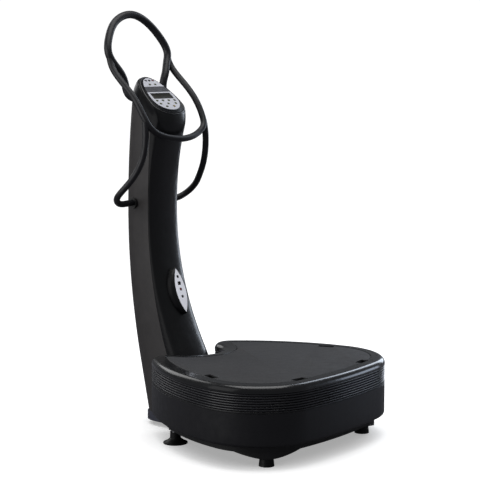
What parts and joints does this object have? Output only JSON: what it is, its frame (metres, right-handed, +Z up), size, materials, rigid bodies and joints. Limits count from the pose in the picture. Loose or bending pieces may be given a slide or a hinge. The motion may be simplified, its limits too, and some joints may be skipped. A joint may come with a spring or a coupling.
{
  "type": "vibration plate",
  "caption": "Standing vibration plate: heart-shaped vibrating deck on a low bellows housing, curved column with tilted keypad console and looped tubular handles.",
  "frame": {"origin": "on the floor, at the middle of the machine's bounding box in plan", "axes": "+Z up, the user stands on the -Y side and faces +Y, +X to the user's right"},
  "size_m": [0.846, 1.0191, 1.5485],
  "materials": {
    "frame_paint": "satin black powder coat",
    "foot_rubber": "moulded black rubber",
    "housing_black": "satin moulded black plastic",
    "bellows_rubber": "semi-gloss black rubber",
    "spring_rubber": "black rubber air spring",
    "drive_case": "cast and ribbed",
    "plinth_paint": "grey paint",
    "gloss_black": "polished black plastic",
    "satin_black": "satin black plastic",
    "handle_coat": "satin black coating on steel tube",
    "bezel_grey": "fine textured grey",
    "keypad_white": "smooth pale grey keypad foil",
    "screen_glass": "liquid crystal screen",
    "board_green": "circuit board",
    "plate_metal": "machined plate",
    "mat_rubber": "fine grained rubber mat",
    "bright_steel": "turned steel",
    "motor_cast": "painted casting",
    "key_green": "soft key",
    "key_red": "soft key",
    "key_yellow": "soft key",
    "key_dark": "soft key"
  },
  "bodies": {
    "base": {"base_frame": "frame_paint", "front_feet": "foot_rubber", "lower_housing": "housing_black", "bellows": "bellows_rubber", "isolators": "spring_rubber", "drive_unit": "drive_case", "column_plinth": "plinth_paint", "column_post": "frame_paint", "column_front_shell": "gloss_black", "column_rear_shell": "satin_black", "head_shell": "gloss_black", "upper_hoop": "handle_coat", "front_grip": "handle_coat", "branch_right": "handle_coat", "branch_left": "handle_coat", "branch_collars": "foot_rubber", "console_bezel": "bezel_grey", "console_faceplate": "keypad_white", "console_display": "screen_glass", "console_board": "board_green", "lower_pod": "gloss_black", "lower_faceplate": "keypad_white", "lower_display": "screen_glass", "power_inlet": "satin_black", "cover_screws": "bright_steel"},
    "deck": {"deck_cap": "gloss_black", "deck_plate": "plate_metal", "deck_mat": "mat_rubber", "strap_anchors": "foot_rubber", "motor_cradle": "frame_paint", "motor_bearings": "bright_steel", "deck_bolts": "bright_steel", "front_motor": "motor_cast", "rear_motor": "motor_cast"},
    "front_rotor_body": {"front_rotor": "bright_steel", "front_weights": "motor_cast"},
    "rear_rotor_body": {"rear_rotor": "bright_steel", "rear_weights": "motor_cast"},
    "left_level_foot": {"rear_foot_left": "foot_rubber", "rear_spindle_left": "bright_steel"},
    "right_level_foot": {"rear_foot_right": "foot_rubber", "rear_spindle_right": "bright_steel"},
    "switch_rocker": {"power_switch": "key_dark"},
    "button_a1_key": {"button_a1": "key_dark"},
    "button_a2_key": {"button_a2": "key_dark"},
    "button_a3_key": {"button_a3": "key_red"},
    "button_b1_key": {"button_b1": "key_green"},
    "button_b2_key": {"button_b2": "key_green"},
    "button_c1_key": {"button_c1": "key_green"},
    "button_c2_key": {"button_c2": "key_green"},
    "button_c3_key": {"button_c3": "key_green"},
    "button_c4_key": {"button_c4": "key_green"},
    "button_d1_key": {"button_d1": "key_green"},
    "button_d2_key": {"button_d2": "key_green"},
    "button_d3_key": {"button_d3": "key_green"},
    "button_e1_key": {"button_e1": "key_green"},
    "button_e2_key": {"button_e2": "key_yellow"},
    "panel_button_top_key": {"panel_button_top": "key_dark"},
    "panel_button_stop_key": {"panel_button_stop": "key_red"},
    "panel_button_low_key": {"panel_button_low": "key_dark"}
  },
  "joints": [
    {"name": "deck_vibration", "type": "slide", "parent": "base", "child": "deck", "axis": [0, 0, 1], "range_m": [-0.002, 0.002], "deforming": ["bellows", "isolators"]},
    {"name": "front_rotor_spin", "type": "hinge", "parent": "deck", "child": "front_rotor_body", "pos_m": [0, -0.245, 0.188], "axis": [1, 0, 0], "continuous": true},
    {"name": "rear_rotor_spin", "type": "hinge", "parent": "deck", "child": "rear_rotor_body", "pos_m": [0, -0.075, 0.188], "axis": [1, 0, 0], "continuous": true},
    {"name": "left_foot_turn", "type": "hinge", "parent": "base", "child": "left_level_foot", "pos_m": [-0.251, 0.066, 0], "axis": [0, 0, 1], "continuous": true},
    {"name": "right_foot_turn", "type": "hinge", "parent": "base", "child": "right_level_foot", "pos_m": [0.251, 0.066, 0], "axis": [0, 0, 1], "continuous": true},
    {"name": "power_switch_rock", "type": "hinge", "parent": "base", "child": "switch_rocker", "pos_m": [0, 0.3799, 0.13534], "axis": [-1, 0, 0], "range_deg": [0, 20]},
    {"name": "button_a1_press", "type": "slide", "parent": "base", "child": "button_a1_key", "axis": [0, 0.6587, -0.7524], "range_m": [0, 0.001]},
    {"name": "button_a2_press", "type": "slide", "parent": "base", "child": "button_a2_key", "axis": [0, 0.6587, -0.7524], "range_m": [0, 0.001]},
    {"name": "button_a3_press", "type": "slide", "parent": "base", "child": "button_a3_key", "axis": [0, 0.6587, -0.7524], "range_m": [0, 0.001]},
    {"name": "button_b1_press", "type": "slide", "parent": "base", "child": "button_b1_key", "axis": [0, 0.6587, -0.7524], "range_m": [0, 0.001]},
    {"name": "button_b2_press", "type": "slide", "parent": "base", "child": "button_b2_key", "axis": [0, 0.6587, -0.7524], "range_m": [0, 0.001]},
    {"name": "button_c1_press", "type": "slide", "parent": "base", "child": "button_c1_key", "axis": [0, 0.6587, -0.7524], "range_m": [0, 0.001]},
    {"name": "button_c2_press", "type": "slide", "parent": "base", "child": "button_c2_key", "axis": [0, 0.6587, -0.7524], "range_m": [0, 0.001]},
    {"name": "button_c3_press", "type": "slide", "parent": "base", "child": "button_c3_key", "axis": [0, 0.6587, -0.7524], "range_m": [0, 0.001]},
    {"name": "button_c4_press", "type": "slide", "parent": "base", "child": "button_c4_key", "axis": [0, 0.6587, -0.7524], "range_m": [0, 0.001]},
    {"name": "button_d1_press", "type": "slide", "parent": "base", "child": "button_d1_key", "axis": [0, 0.6587, -0.7524], "range_m": [0, 0.001]},
    {"name": "button_d2_press", "type": "slide", "parent": "base", "child": "button_d2_key", "axis": [0, 0.6587, -0.7524], "range_m": [0, 0.001]},
    {"name": "button_d3_press", "type": "slide", "parent": "base", "child": "button_d3_key", "axis": [0, 0.6587, -0.7524], "range_m": [0, 0.001]},
    {"name": "button_e1_press", "type": "slide", "parent": "base", "child": "button_e1_key", "axis": [0, 0.6587, -0.7524], "range_m": [0, 0.001]},
    {"name": "button_e2_press", "type": "slide", "parent": "base", "child": "button_e2_key", "axis": [0, 0.6587, -0.7524], "range_m": [0, 0.001]},
    {"name": "panel_button_top_press", "type": "slide", "parent": "base", "child": "panel_button_top_key", "axis": [0, 0.9483, -0.3173], "range_m": [0, 0.001]},
    {"name": "panel_button_stop_press", "type": "slide", "parent": "base", "child": "panel_button_stop_key", "axis": [0, 0.9483, -0.3173], "range_m": [0, 0.001]},
    {"name": "panel_button_low_press", "type": "slide", "parent": "base", "child": "panel_button_low_key", "axis": [0, 0.9483, -0.3173], "range_m": [0, 0.001]}
  ],
  "couplings": [
    {"joint": "rear_rotor_spin", "follows": "front_rotor_spin", "ratio": -1}
  ]
}
